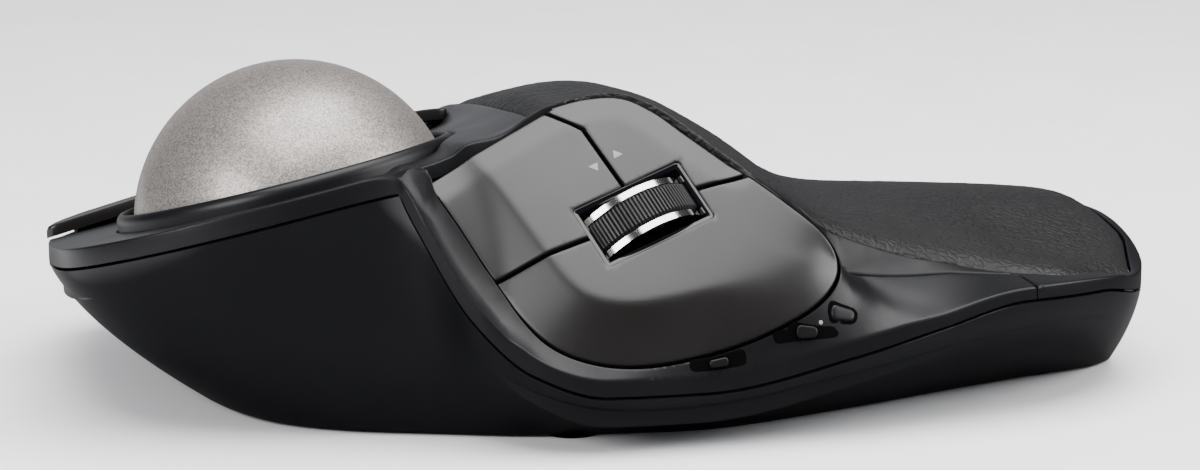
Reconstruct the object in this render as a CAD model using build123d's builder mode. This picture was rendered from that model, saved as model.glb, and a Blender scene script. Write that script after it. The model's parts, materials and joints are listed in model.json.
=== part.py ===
from build123d import *
import math
import os

os.makedirs("parts", exist_ok=True)

# ---------------------------------------------------------------- driving dimensions (mm)
# Row frame: +Y points away from the user, +X to the user's right, +Z up, desk at z = 0.
BALL_R = 26.0
BALL = Vector(-9, 52, 31)
WALL = 2.2              # moulded wall thickness of the housings
SEAM = 0.15             # half of the hairline between two housings
FLOOR_Z = 1.2           # underside of the base shell, above its feet
KEY_SKIN = 2.4          # thickness of a key cap
KEY_GAP = 0.3           # inset of every key cap from its outline
SKIRT = 5.5             # depth of a thumb key's skirt below the panel plane
SCREW_R = 1.25
FIT = 0.05              # radial running clearance of every journal

# The deck around the ball falls towards the front and towards the right.
DECK_DROP_FRONT = math.tan(math.radians(12.0))
DECK_DROP_RIGHT = math.tan(math.radians(9.5))
DECK_Z = 36.6           # deck height on the ball's axis
DECK_BAND = 3.3         # height of the deck's visible edge band
DECK_NORMAL = Vector(DECK_DROP_RIGHT, DECK_DROP_FRONT, 1).normalized()
DECK_FRONT_Y = 26       # the deck lies ahead of this line, the hump behind it
DECK = Plane(origin=BALL, x_dir=(1, 0, -DECK_DROP_RIGHT), z_dir=DECK_NORMAL)
DECK_RISE = (DECK_Z - BALL.Z) * DECK_NORMAL.Z

# The thumb panel is a steep plane on the left flank: first axis to the rear, second axis up the slope.
PANEL = Plane(origin=(-36, 36.3, 42.2), x_dir=(-0.105, -0.995, 0), z_dir=(-0.76, 0.08, 0.64))
APRON = Plane(origin=(-57.3, -26, 21.0), x_dir=(0, 1, 0), z_dir=(-0.40, 0.02, 0.92))
RIGHT_FLANK = Plane(origin=(28, 6, 43.5), x_dir=(0, 1, 0), z_dir=(0.42, 0, 1))

# ---------------------------------------------------------------- outer form
# Plan corners of the hull at its foot and at its widest height, in the same order.
FOOT = [(-13, 65), (-30, 54), (-37, 40), (-50, 12), (-50, -30), (-37, -66), (-18, -80), (29, -80), (46, -50),
        (48, 30), (38, 62), (8, 67)]
WAIST = [(-16, 91), (-37, 74), (-41, 47), (-57.35, 15), (-57.35, -40), (-51, -70), (-25, -90.5), (28, -91),
         (52, -62), (57.35, 25), (52, 78), (20, 92)]
WAIST_Z = 27
RISES = (0, 0.3, 0.65, 1)

# Side profile of the hump, (y, z), from the rear to the front.
HUMP = [(-92, 22.6), (-81, 27.6), (-42, 30.6), (-30, 33.5), (-18, 41.8), (-7, 47.6), (4, 50.6), (15, 50.4),
        (DECK_FRONT_Y, 45.5)]
# Side profile of the seam between base and cover behind the deck.
VALLEY = [(-92, 16.2), (-70, 21.2), (-57, 21.2), (-27, 14.9), (-3, 11), (13, 11), (24, 14.5), (32, 22), (44, 42)]


def hull(inset):
    """Solid of the outer form, moved inwards by inset."""
    with BuildPart() as form:
        for rise in RISES:
            spread = 1 - (1 - rise) ** 1.5
            z = FLOOR_Z + inset + (WAIST_Z - FLOOR_Z - inset) * rise
            corners = [(f[0] + (w[0] - f[0]) * spread, f[1] + (w[1] - f[1]) * spread) for f, w in zip(FOOT, WAIST)]
            with BuildSketch(Plane.XY.offset(z)):
                Polygon(*corners, align=None)
                if inset:
                    offset(amount=-inset, kind=Kind.INTERSECTION)
        loft(ruled=True)
        with BuildSketch(Plane.XY.offset(WAIST_Z)):
            Polygon(*WAIST, align=None)
            if inset:
                offset(amount=-inset, kind=Kind.INTERSECTION)
        extrude(amount=33)
    return form.part


def under_skin(drop):
    """Everything below the upper skin, with the skin lowered by drop."""
    with BuildPart() as hump:
        with BuildSketch(Plane.YZ.offset(-70)):
            Polygon(*[(y, z - drop) for y, z in HUMP], (DECK_FRONT_Y, -20), (HUMP[0][0], -20), align=None)
        extrude(amount=140)
        for flank in (PANEL, RIGHT_FLANK):
            with BuildSketch(flank.offset(-drop)):
                Rectangle(400, 400)
            extrude(amount=120, mode=Mode.SUBTRACT)
        with BuildSketch(APRON.offset(-drop)):
            Rectangle(100, 120, align=(Align.MAX, Align.CENTER))
        extrude(amount=60, mode=Mode.SUBTRACT)
    with BuildPart() as block:
        with Locations((0, DECK_FRONT_Y, -20)):
            Box(140, 80, 80, align=(Align.CENTER, Align.MIN, Align.MIN))
        with BuildSketch(DECK.offset(DECK_RISE - drop)):
            Rectangle(400, 400)
        extrude(amount=120, mode=Mode.SUBTRACT)
        add(hump.part)
    return block.part


def above_seam(lift):
    """Everything above the seam between base and cover, with the seam raised by lift."""
    with BuildPart() as region:
        with BuildSketch(Plane.YZ.offset(-70)):
            Polygon(*[(y, z + lift) for y, z in VALLEY], (VALLEY[-1][0], 70), (VALLEY[0][0], 70), align=None)
        extrude(amount=140)
        with BuildSketch(DECK.offset(DECK_RISE - DECK_BAND + lift)):
            Rectangle(400, 400)
        extrude(amount=90)
    return region.part


# ---------------------------------------------------------------- outlines
PAD = [(-29, 14), (-31.5, 0), (-40.5, -13), (-43, -24), (-43, -50), (-41, -66), (-32, -79), (-18, -86), (22, -86),
       (43, -62), (46, -8), (38, 14)]
PALM_SPLIT_Y = -60      # behind this line the whole rim belongs to the palm base

# Outlines in the panel plane.
PANEL_RIM = [(0, 0), (19.8, 11.7), (30.8, 12.1), (35.5, 10.2), (49, -1.7), (60.1, -10.9), (63, -16), (60, -23),
             (49.8, -29), (36.9, -32.3), (27.6, -32.4), (20.1, -30), (14.4, -25.4), (9.1, -17.2)]
WHEEL_SPOT = (33.4, -7.6)
WHEEL_TURN = 25         # direction of the wheel's rim in the panel plane, degrees
OPENING = (18.4, 10.6)
KEY_RIMS = {
    "back_key": [(0, 0), (19.8, 11.7), (25.4, 7.7), (31, -3.2), WHEEL_SPOT, (9.1, -17.2)],
    "forward_key": [(19.8, 11.7), (30.8, 12.1), (35.5, 10.2), (49, -1.7), WHEEL_SPOT, (31, -3.2), (25.4, 7.7)],
    "left_key": [(49, -1.7), (60.1, -10.9), (63, -16), (60, -23), (49.8, -29), (36.9, -32.3), (27.6, -32.4),
                 (20.1, -30), (14.4, -25.4), (9.1, -17.2), WHEEL_SPOT],
}
THUMB_STEMS = {"back_key": (15, -3), "forward_key": (36, 5), "left_key": (40, -22)}


def upright(corners, grow, low, high):
    """Upright prism over plan corners, grown sideways."""
    with BuildPart() as prism:
        with BuildSketch(Plane.XY.offset(low)):
            Polygon(*corners, align=None)
            if grow:
                offset(amount=grow, kind=Kind.INTERSECTION)
        extrude(amount=high - low)
    return prism.part


def palm_region(grow):
    """Plan region of the palm base: the pad, a strip around it, and the rear rim."""
    with BuildPart() as prism:
        with BuildSketch():
            Polygon(*PAD, align=None)
            offset(amount=2.2 + grow, kind=Kind.INTERSECTION)
            with Locations((0, PALM_SPLIT_Y + grow)):
                Rectangle(140, 60, align=(Align.CENTER, Align.MAX))
        extrude(amount=70)
    return prism.part


def panel_prism(rim, grow, low, high):
    """Prism square to the thumb panel, grown sideways."""
    with BuildPart() as prism:
        with BuildSketch(PANEL.offset(low)):
            Polygon(*rim, align=None)
            offset(amount=grow, kind=Kind.INTERSECTION)
        extrude(amount=high - low)
    return prism.part


def keep_largest(builder):
    """Drop the slivers that a cut can leave beside the main solid."""
    main = builder.part.solids().sort_by(SortBy.VOLUME)[-1]
    builder.part = Part(main.wrapped)


def save(builder, name):
    """Label a finished piece and write it."""
    builder.part.label = name
    export_step(builder.part, f"parts/{name}.step")


# ---------------------------------------------------------------- shared solids
outer_hull = hull(0)
inner_hull = hull(WALL)
outer_skin = under_skin(0)
COLLAR_IN = 26.6
COLLAR_OUT = 28.2
CUP_IN = 26.8
CUP_OUT = 28.0
EJECT_R = 10.0          # finger hole under the ball
POSTS = [(36, 50), (44, 19), (-29, -60), (28, -58)]
POST_R = 3.2
POST_SPLIT_Z = 11.0     # the base's bosses end here and the cover's posts begin
PILOT_TOP = 17.5
PORT = (12, 14)         # charging port on the front, (x, z)

# ---------------------------------------------------------------- base shell
with BuildPart() as base_shell:
    add(outer_hull)
    add(inner_hull, mode=Mode.SUBTRACT)
    with BuildSketch(Plane.XY.offset(FLOOR_Z)):
        with Locations(*POSTS):
            Circle(POST_R)
    extrude(amount=POST_SPLIT_Z - FLOOR_Z)
    add(above_seam(-SEAM), mode=Mode.SUBTRACT)
    with BuildSketch():
        with Locations(*POSTS):
            Circle(SCREW_R + FIT)
    extrude(amount=POST_SPLIT_Z + 1, mode=Mode.SUBTRACT)
    with BuildSketch():
        with Locations((BALL.X, BALL.Y)):
            Circle(EJECT_R + 2.5)
    extrude(amount=FLOOR_Z + WALL + 1, mode=Mode.SUBTRACT)
    with BuildSketch():
        with Locations(*POSTS):
            Circle(2.6)
    extrude(amount=4.2, mode=Mode.SUBTRACT)
    with BuildSketch(Plane.XZ.offset(-95)):
        with Locations(PORT):
            SlotOverall(9.8, 3.8)
    extrude(amount=14, mode=Mode.SUBTRACT)
save(base_shell, "base_shell")

# ---------------------------------------------------------------- top cover
CONTROLS = Plane(origin=(-53.0, -23.5, 20.4), x_dir=(0.18, -0.98, 0), z_dir=(-0.83, -0.15, 0.54))
BUTTON_AT = (2.2, 1.4)
LAMP_AT = (-4.4, -1.2)
SLIDERS = {"dpi_slider": (-2.5, -4.0), "power_slider": (-13.0, -5.4)}
TRACK = (7.6, 2.6)
WING_STEMS = {"right_key": (29, 62), "fn1_key": (39.5, 64.2), "fn2_key": (43, 50), "fn3_key": (45, 31)}

with BuildPart() as upper_block:
    add(outer_hull)
    add(outer_skin, mode=Mode.INTERSECT)
    add(above_seam(SEAM), mode=Mode.INTERSECT)

with BuildPart() as cavity:
    add(inner_hull)
    add(under_skin(WALL), mode=Mode.INTERSECT)


def post(x, y, ceiling):
    """Screw post that hangs from the skin down to the base's boss."""
    with BuildPart() as column:
        with BuildSketch(Plane.XY.offset(POST_SPLIT_Z + 0.2)):
            with Locations((x, y)):
                Circle(POST_R)
        extrude(amount=60)
        add(ceiling, mode=Mode.INTERSECT)
        with BuildSketch(Plane.XY.offset(POST_SPLIT_Z)):
            with Locations((x, y)):
                Circle(SCREW_R + FIT)
        extrude(amount=PILOT_TOP - POST_SPLIT_Z, mode=Mode.SUBTRACT)
    return column.part


with BuildPart() as top_cover:
    add(upper_block.part)
    add(cavity.part, mode=Mode.SUBTRACT)
    for spot in POSTS[:2]:
        add(post(*spot, outer_skin))
    add(palm_region(SEAM), mode=Mode.SUBTRACT)
    add(panel_prism(PANEL_RIM, 0.3, -SKIRT - 2.5, 14), mode=Mode.SUBTRACT)
    with BuildSketch(DECK.offset(-12)):
        Circle(COLLAR_OUT + 0.1)
    extrude(amount=40, mode=Mode.SUBTRACT)
    with BuildSketch(Plane.XY):
        with Locations(*WING_STEMS.values()):
            Circle(2.2)
    extrude(amount=60, mode=Mode.SUBTRACT)
    with BuildSketch(CONTROLS.offset(-6)):
        with Locations(BUTTON_AT):
            Circle(1.6)
        with Locations(LAMP_AT):
            Circle(0.8)
        with Locations(*SLIDERS.values()):
            Rectangle(*TRACK)
    extrude(amount=12, mode=Mode.SUBTRACT)
    add(base_shell.part, mode=Mode.SUBTRACT)
keep_largest(top_cover)
save(top_cover, "top_cover")

# ---------------------------------------------------------------- ball and its seat
with BuildPart() as ball:
    with Locations(BALL):
        Sphere(BALL_R)
save(ball, "ball")

with BuildPart() as ball_collar:
    with BuildSketch(DECK.offset(DECK_RISE - 2.8)):
        Circle(COLLAR_OUT)
        Circle(COLLAR_IN, mode=Mode.SUBTRACT)
    extrude(amount=5.6)
    fillet(ball_collar.edges().filter_by(GeomType.CIRCLE).group_by(SortBy.RADIUS)[-1], 0.5)
save(ball_collar, "ball_collar")

BEAD_R = 1.25
BEAD_REACH = BALL_R + BEAD_R + 0.02
BEAD_DIP = 42           # beads sit this many degrees below the ball's equator
bead_spots = []
for turn in (90, 210, 330):
    level = BEAD_REACH * math.cos(math.radians(BEAD_DIP))
    bead_spots.append(BALL + Vector(level * math.cos(math.radians(turn)), level * math.sin(math.radians(turn)),
                                    -BEAD_REACH * math.sin(math.radians(BEAD_DIP))))

SENSOR_AT = BALL + Vector(19.2, -6, -20.4)   # on the cup, low and to the right
SENSOR_AXIS = (SENSOR_AT - BALL).normalized()
SENSOR = Plane(origin=BALL + SENSOR_AXIS * CUP_OUT, z_dir=SENSOR_AXIS)

with BuildPart() as ball_cup:
    with Locations(BALL):
        Sphere(CUP_OUT)
        Sphere(CUP_IN, mode=Mode.SUBTRACT)
    with BuildSketch(DECK.offset(DECK_RISE - 3.0)):
        Circle(60)
    extrude(amount=60, mode=Mode.SUBTRACT)
    with BuildSketch():
        with Locations((BALL.X, BALL.Y)):
            Circle(EJECT_R)
    extrude(amount=20, mode=Mode.SUBTRACT)
    with Locations(*bead_spots):
        Sphere(BEAD_R + 0.01, mode=Mode.SUBTRACT)
    with BuildSketch(SENSOR.offset(-3)):
        Circle(3.2)
    extrude(amount=4, mode=Mode.SUBTRACT)
save(ball_cup, "ball_cup")

with BuildPart() as bearing_beads:
    with Locations(*bead_spots):
        Sphere(BEAD_R)
save(bearing_beads, "bearing_beads")

with BuildPart() as sensor_lens:
    with BuildSketch(SENSOR.offset(-0.6)):
        Circle(3.0)
    extrude(amount=1.8)
save(sensor_lens, "sensor_lens")

with BuildPart() as sensor_board:
    with BuildSketch(SENSOR.offset(1.3)):
        Rectangle(10, 9)
    extrude(amount=1.0)
save(sensor_board, "sensor_board")

# ---------------------------------------------------------------- thumb keys
WHEEL = Plane(PANEL.from_local_coords(Vector(*WHEEL_SPOT, 0)),
              x_dir=PANEL.x_dir * math.cos(math.radians(WHEEL_TURN)) + PANEL.y_dir * math.sin(math.radians(WHEEL_TURN)),
              z_dir=PANEL.z_dir)
SWITCH = (6, 6, 4)
BOARD_DEPTH = 13.0      # thumb board below the panel plane
STEM_R = 1.6
STEM_GAP = 0.9          # from a stem's end to the switch below it

WHEEL_R = 11.5
WHEEL_SINK = 8.5        # wheel centre below the panel plane
HUB_W = 5.2
RING_W = 1.1
AXLE_R = 1.2
HUB = Plane(origin=WHEEL.origin - WHEEL.z_dir * WHEEL_SINK, x_dir=WHEEL.x_dir, z_dir=WHEEL.y_dir)


def disc(radius, low, high, hole=0.0):
    """Round plate on the wheel's axis."""
    with BuildPart() as plate:
        with BuildSketch(HUB.offset(low)):
            Circle(radius)
            if hole:
                Circle(hole, mode=Mode.SUBTRACT)
        extrude(amount=high - low)
    return plate.part


wheel_room = disc(WHEEL_R + 0.9, -OPENING[1] / 2, OPENING[1] / 2)

for name, rim in KEY_RIMS.items():
    with BuildPart() as key:
        add(panel_prism(rim, -KEY_GAP, -SKIRT, 0))
        add(panel_prism(rim, -KEY_GAP - 1.6, -SKIRT, -KEY_SKIN), mode=Mode.SUBTRACT)
        add(outer_hull, mode=Mode.INTERSECT)
        with BuildSketch(WHEEL.offset(-SKIRT)):
            Rectangle(*OPENING)
        extrude(amount=SKIRT, mode=Mode.SUBTRACT)
        add(wheel_room, mode=Mode.SUBTRACT)
        with BuildSketch(PANEL.offset(-KEY_SKIN)):
            with Locations(THUMB_STEMS[name]):
                Circle(STEM_R)
        extrude(amount=-(BOARD_DEPTH - SWITCH[2] - STEM_GAP - KEY_SKIN))
    save(key, name)

# ---------------------------------------------------------------- palm base and pad
PAD_THICK = 2.5
pad_pocket = upright(PAD, 0.3, 0, 70) - under_skin(PAD_THICK + 0.1)

with BuildPart() as palm_cavity:
    add(inner_hull)
    add(under_skin(PAD_THICK + WALL), mode=Mode.INTERSECT)

with BuildPart() as palm_base:
    add(upper_block.part)
    add(palm_region(-SEAM), mode=Mode.INTERSECT)
    add(pad_pocket, mode=Mode.SUBTRACT)
    add(palm_cavity.part, mode=Mode.SUBTRACT)
    add(panel_prism(PANEL_RIM, 0.3, -SKIRT - 1.5, 14), mode=Mode.SUBTRACT)
    add(wheel_room, mode=Mode.SUBTRACT)
    with BuildSketch(WHEEL.offset(-30)):
        Rectangle(41, 13)
    extrude(amount=26, mode=Mode.SUBTRACT)
    for spot in POSTS[2:]:
        add(post(*spot, under_skin(PAD_THICK + 1)))
keep_largest(palm_base)
save(palm_base, "palm_base")

with BuildPart() as palm_pad:
    add(upright(PAD, 0, 0, 70))
    add(outer_hull, mode=Mode.INTERSECT)
    add(outer_skin, mode=Mode.INTERSECT)
    add(under_skin(PAD_THICK), mode=Mode.SUBTRACT)
    add(panel_prism(PANEL_RIM, 1.2, -SKIRT - 1.5, 14), mode=Mode.SUBTRACT)
keep_largest(palm_pad)
save(palm_pad, "palm_pad")

# ---------------------------------------------------------------- wing keys, on the right of the ball
WING = Plane(origin=(21, 87, 26.4), x_dir=(1, 0, -0.2), z_dir=(0.2, 0.2714, 1))
WING_RIMS = {
    "right_key": [(21, 86), (33, 84.5), (37, 20), (21, 20)],
    "fn1_key": [(33.8, 84), (43, 81), (51.5, 68), (53, 62.8), (35, 62.8)],
    "fn2_key": [(35.2, 61.8), (53, 61.8), (56, 44), (36.3, 44)],
    "fn3_key": [(36.4, 43), (56, 43), (56.5, 20), (37.9, 20)],
}
WING_SINK = 10.0        # right board below the deck plane
WING_GAP = 0.9          # key caps float this far above the cover

wing_floor = under_skin(-WING_GAP)
with BuildPart() as wing_roof:
    with BuildSketch(WING):
        Rectangle(400, 400)
    extrude(amount=-60)

for name, rim in WING_RIMS.items():
    stem_x, stem_y = WING_STEMS[name]
    deck_here = DECK_Z - DECK_DROP_FRONT * (stem_y - BALL.Y) - DECK_DROP_RIGHT * (stem_x - BALL.X)
    with BuildPart() as key:
        add(upright(rim, 0, 0, 60))
        add(wing_roof.part, mode=Mode.INTERSECT)
        add(wing_floor, mode=Mode.SUBTRACT)
        with BuildSketch(Plane.XY.offset(deck_here - WING_SINK + SWITCH[2] + STEM_GAP + 1)):
            with Locations((stem_x, stem_y)):
                Circle(STEM_R)
        extrude(amount=WING_SINK)
        add(wing_roof.part, mode=Mode.INTERSECT)
    keep_largest(key)
    save(key, name)

# ---------------------------------------------------------------- scroll wheel, its fork and its cradle

RIBS = 56
with BuildPart() as wheel_tyre:
    add(disc(WHEEL_R, -HUB_W / 2, HUB_W / 2, 9.5))
    with BuildSketch(HUB.offset(-HUB_W / 2)):
        with PolarLocations(WHEEL_R, RIBS):
            Rectangle(0.7, 0.55)
    extrude(amount=HUB_W, mode=Mode.SUBTRACT)
save(wheel_tyre, "wheel_tyre")

with BuildPart() as wheel_hub:
    add(disc(9.45, -HUB_W / 2, HUB_W / 2, AXLE_R + FIT))
save(wheel_hub, "wheel_hub")

with BuildPart() as wheel_rings:
    for side in (-1, 1):
        inner = side * (HUB_W / 2 + 0.02)
        outer = side * (HUB_W / 2 + RING_W)
        add(disc(WHEEL_R - 0.4, min(inner, outer), max(inner, outer), 5))
save(wheel_rings, "wheel_rings")

ARM_IN = 4.1
ARM_OUT = 4.8
with BuildPart() as wheel_axle:
    add(disc(AXLE_R, -ARM_OUT, ARM_OUT))
save(wheel_axle, "wheel_axle")

FORK_DEPTH = 21.5       # fork's foot below the panel plane
with BuildPart() as wheel_fork:
    with BuildSketch(WHEEL.offset(-FORK_DEPTH - 1.5)):
        Rectangle(16, 2 * ARM_OUT)
    extrude(amount=1.5)
    with BuildSketch(WHEEL.offset(-FORK_DEPTH - 0.1)):
        for side in (-1, 1):
            with Locations((0, side * (ARM_IN + ARM_OUT) / 2)):
                Rectangle(12, ARM_OUT - ARM_IN)
    extrude(amount=FORK_DEPTH + 0.1 - 3.0)
    add(disc(AXLE_R + 0.01, -10, 10), mode=Mode.SUBTRACT)
save(wheel_fork, "wheel_fork")

CRADLE_DEPTH = 24.0
POST_NEAR = 14.0
with BuildPart() as wheel_cradle:
    with BuildSketch(WHEEL.offset(-CRADLE_DEPTH - 1.4)):
        Rectangle(2 * (POST_NEAR + 1.5), 7)
    extrude(amount=1.4)
    with BuildSketch(WHEEL.offset(-CRADLE_DEPTH - 0.1)):
        for side in (-1, 1):
            with Locations((side * (POST_NEAR + 0.75), 0)):
                Rectangle(1.5, 5)
    extrude(amount=CRADLE_DEPTH + 0.1 - 6.5)
    with BuildSketch(Plane(origin=HUB.origin + WHEEL.x_dir * POST_NEAR, z_dir=WHEEL.x_dir)):
        Circle(AXLE_R)
    extrude(amount=5)
    with BuildSketch(Plane(origin=HUB.origin - WHEEL.x_dir * POST_NEAR, z_dir=-WHEEL.x_dir)):
        Circle(AXLE_R)
    extrude(amount=5)
save(wheel_cradle, "wheel_cradle")

BRACKET_DEPTH = 26.4
with BuildPart() as wheel_bracket:
    with BuildSketch(WHEEL.offset(-BRACKET_DEPTH - 1.6)):
        Rectangle(38, 8)
    extrude(amount=1.6)
    with BuildSketch(WHEEL.offset(-BRACKET_DEPTH - 0.1)):
        for side in (-1, 1):
            with Locations((side * 17.4, 0)):
                Rectangle(3.0, 5)
    extrude(amount=BRACKET_DEPTH + 0.1 - 6.7)
    with BuildSketch(Plane(origin=HUB.origin - WHEEL.x_dir * 25, z_dir=WHEEL.x_dir)):
        Circle(AXLE_R + FIT)
    extrude(amount=50, mode=Mode.SUBTRACT)
save(wheel_bracket, "wheel_bracket")

# ---------------------------------------------------------------- boards, switches and power
with BuildPart() as thumb_board:
    with BuildSketch(PANEL.offset(-BOARD_DEPTH - 1.0)):
        Polygon((9, -14), (10, -1), (22, 6), (34, 8), (46, -3), (55, -10), (54, -22), (44, -26), (24, -26), (16, -21),
                align=None)
        with Locations(Location((*WHEEL_SPOT, 0), (0, 0, WHEEL_TURN))):
            Rectangle(40, 12, mode=Mode.SUBTRACT)
    extrude(amount=1.0)
save(thumb_board, "thumb_board")

RIGHT_BOARD = Plane(origin=(BALL.X, BALL.Y, DECK_Z - WING_SINK), x_dir=(1, 0, -DECK_DROP_RIGHT), z_dir=DECK_NORMAL)
RIGHT_BOARD_PLAN = [(25, 67), (42, 67), (45, 58), (48.5, 27), (25, 27)]
with BuildPart() as board_slab:
    with BuildSketch(RIGHT_BOARD.offset(-1.0)):
        Rectangle(300, 300)
    extrude(amount=1.0)

with BuildPart() as right_board:
    add(upright(RIGHT_BOARD_PLAN, 0, 0, 60))
    add(board_slab.part, mode=Mode.INTERSECT)
    with BuildSketch():
        with Locations(POSTS[0]):
            Circle(POST_R + 0.6)
    extrude(amount=60, mode=Mode.SUBTRACT)
save(right_board, "right_board")

with BuildPart() as key_switches:
    for spot in THUMB_STEMS.values():
        with BuildSketch(PANEL.offset(-BOARD_DEPTH + 0.02)):
            with Locations(spot):
                Rectangle(SWITCH[0] - 1, SWITCH[1] - 1)
        extrude(amount=SWITCH[2])
    for x, y in WING_STEMS.values():
        seat = Vector(x, y, DECK_Z - WING_SINK - DECK_DROP_FRONT * (y - BALL.Y) - DECK_DROP_RIGHT * (x - BALL.X))
        with BuildSketch(Plane(origin=seat, x_dir=(1, 0, -DECK_DROP_RIGHT), z_dir=DECK_NORMAL).offset(0.02)):
            Rectangle(SWITCH[0] - 1, SWITCH[1] - 1)
        extrude(amount=SWITCH[2])
save(key_switches, "key_switches")

with BuildPart() as main_board:
    with BuildSketch(Plane.XY.offset(6)):
        with Locations((2, -30)):
            Rectangle(64, 44)
    extrude(amount=1.2)
save(main_board, "main_board")

with BuildPart() as battery:
    with Locations((8, -30, 7.6)):
        Box(44, 34, 6, align=(Align.CENTER, Align.CENTER, Align.MIN))
    fillet(battery.edges().filter_by(Axis.Y), 2.2)
save(battery, "battery")

with BuildPart() as usb_socket:
    with Locations((PORT[0], 73, PORT[1])):
        Box(8.9, 7.2, 3.2)
    fillet(usb_socket.edges().filter_by(Axis.Y), 1.4)
save(usb_socket, "usb_socket")

# ---------------------------------------------------------------- controls on the apron
with BuildPart() as pair_button:
    with BuildSketch(CONTROLS.offset(-3.2)):
        with Locations(BUTTON_AT):
            Circle(1.4)
    extrude(amount=3.0)
save(pair_button, "pair_button")

with BuildPart() as light_pipe:
    with BuildSketch(CONTROLS.offset(-4)):
        with Locations(LAMP_AT):
            Circle(0.7)
    extrude(amount=3.6)
save(light_pipe, "light_pipe")

SLIDE = 2.0             # travel of each slider, from end to end
for name, spot in SLIDERS.items():
    with BuildPart() as slider:
        with BuildSketch(CONTROLS.offset(-3.4)):
            with Locations((spot[0] - SLIDE / 2, spot[1])):
                Rectangle(TRACK[0] - SLIDE - 0.6, TRACK[1] - 0.4)
        extrude(amount=2.6)
    save(slider, name)

# ---------------------------------------------------------------- fasteners and feet
with BuildPart() as case_screws:
    for spot in POSTS:
        with BuildSketch(Plane.XY.offset(2.4)):
            with Locations(spot):
                Circle(2.4)
        extrude(amount=1.7)
        with BuildSketch(Plane.XY.offset(4.0)):
            with Locations(spot):
                Circle(SCREW_R)
        extrude(amount=PILOT_TOP - 5)
save(case_screws, "case_screws")

FEET = [(-22, -70), (30, -70), (-40, 14), (42, 22), (14, 60)]
FOOT_R = 4.5
with BuildPart() as feet:
    with BuildSketch():
        with Locations(*FEET):
            Circle(FOOT_R)
    extrude(amount=FLOOR_Z)
save(feet, "feet")
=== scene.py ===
"""Looks of the trackball mouse: smooth mouldings, leather-grained palm pad, ribbed wheel, studio."""
import json
import math

import bmesh
import bpy
import numpy as np
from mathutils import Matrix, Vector
from mathutils.geometry import delaunay_2d_cdt


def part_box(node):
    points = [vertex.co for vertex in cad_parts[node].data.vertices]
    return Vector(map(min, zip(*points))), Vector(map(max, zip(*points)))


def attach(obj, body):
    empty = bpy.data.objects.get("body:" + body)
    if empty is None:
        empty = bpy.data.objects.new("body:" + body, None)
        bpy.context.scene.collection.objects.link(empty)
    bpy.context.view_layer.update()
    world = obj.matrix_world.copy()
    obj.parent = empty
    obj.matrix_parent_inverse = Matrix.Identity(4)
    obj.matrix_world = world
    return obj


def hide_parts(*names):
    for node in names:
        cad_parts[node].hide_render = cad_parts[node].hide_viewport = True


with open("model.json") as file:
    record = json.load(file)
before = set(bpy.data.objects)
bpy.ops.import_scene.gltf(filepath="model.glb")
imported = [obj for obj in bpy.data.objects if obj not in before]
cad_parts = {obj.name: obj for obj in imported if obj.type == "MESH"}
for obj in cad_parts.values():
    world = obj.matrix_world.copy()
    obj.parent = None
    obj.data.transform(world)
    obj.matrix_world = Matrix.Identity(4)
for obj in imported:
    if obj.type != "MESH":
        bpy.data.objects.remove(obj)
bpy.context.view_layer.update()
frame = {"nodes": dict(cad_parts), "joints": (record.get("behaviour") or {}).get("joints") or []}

NODES = frame["nodes"]
MM = 0.001

# ---------------------------------------------------------------- places read from the frame, in mm
ball_low, ball_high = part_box("ball")
BALL = np.array([(ball_low[i] + ball_high[i]) / 2 / MM for i in range(3)])
BALL_R = (ball_high[2] - ball_low[2]) / 2 / MM
FLOOR_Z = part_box("base_shell")[0][2] / MM
DECK_SLOPE = np.array([-math.tan(math.radians(9.5)), -math.tan(math.radians(12.0))])
DECK_Z = BALL[2] + 5.6
DECK_BAND = 3.3
DECK_NORMAL = np.array([-DECK_SLOPE[0], -DECK_SLOPE[1], 1.0])
DECK_NORMAL /= np.linalg.norm(DECK_NORMAL)
GAP = 0.22              # visible hairline between mouldings
JOINTS = {joint["name"]: joint for joint in frame["joints"]}


def unit(v):
    """Unit vector."""
    v = np.array(v, float)
    return v / np.linalg.norm(v)


# Thumb panel: origin, axis to the rear, axis up the slope, outward normal.
PANEL_O = BALL + np.array([-27.0, -15.7, 11.2])
PANEL_N = unit([-0.76, 0.08, 0.64])
PANEL_X = np.array([-0.105, -0.995, 0.0])
PANEL_X = unit(PANEL_X - PANEL_N * PANEL_X.dot(PANEL_N))
PANEL_Y = np.cross(PANEL_N, PANEL_X)
HUB = np.array(JOINTS["wheel_spin"]["pos_m"]) / MM
AXLE = unit(JOINTS["wheel_spin"]["axis"])


# ---------------------------------------------------------------- curve helpers
def monotone(xs, ys, x):
    """Shape-preserving cubic through knots; xs and ys are (n, k), x is (n,)."""
    h = np.diff(xs, axis=1)
    slope = np.diff(ys, axis=1) / np.maximum(h, 1e-6)
    tangent = np.zeros_like(ys)
    same = slope[:, :-1] * slope[:, 1:] > 0
    total = slope[:, :-1] + slope[:, 1:]
    tangent[:, 1:-1] = np.where(same, 2 * slope[:, :-1] * slope[:, 1:] / np.where(same, total, 1), 0)
    tangent[:, 0] = slope[:, 0]
    tangent[:, -1] = slope[:, -1]
    k = np.clip((x[:, None] >= xs[:, 1:-1]).sum(1), 0, xs.shape[1] - 2)
    row = np.arange(len(x))
    step = np.maximum(h[row, k], 1e-6)
    t = (x - xs[row, k]) / step
    t = np.clip(t, -0.5, 1.5)
    a, b = ys[row, k], ys[row, k + 1]
    ta, tb = tangent[row, k] * step, tangent[row, k + 1] * step
    return ((2 * t**3 - 3 * t**2 + 1) * a + (t**3 - 2 * t**2 + t) * ta
            + (-2 * t**3 + 3 * t**2) * b + (t**3 - t**2) * tb)


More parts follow.
